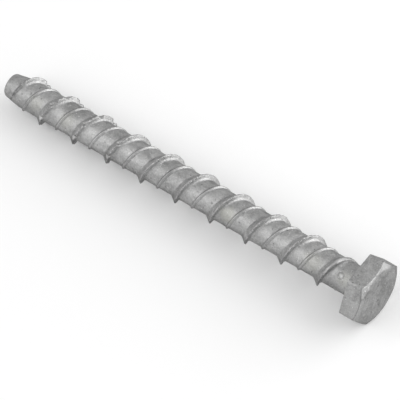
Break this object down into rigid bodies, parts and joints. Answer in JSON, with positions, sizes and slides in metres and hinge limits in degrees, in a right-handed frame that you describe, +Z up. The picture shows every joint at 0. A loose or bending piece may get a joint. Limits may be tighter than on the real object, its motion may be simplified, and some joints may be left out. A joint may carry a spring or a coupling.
{
  "type": "concrete screw",
  "caption": "Hexagon-head concrete screw with a tall and a low coarse left-hand thread on a plain shank with a blunt tapered nose, hot-dip galvanised.",
  "frame": {"origin": "centre of the head's underside, where the screw's axis passes through the bearing face", "axes": "+X along the screw from the tip to the head, +Z up from the surface that the screw lies on, so the axis dips towards the tip by 1.5 degrees"},
  "size_m": [0.1309, 0.0208, 0.0181],
  "materials": {
    "galvanised_steel": "dull hot-dip galvanised"
  },
  "bodies": {
    "root": {"concrete_screw": "galvanised_steel"}
  },
  "joints": []
}
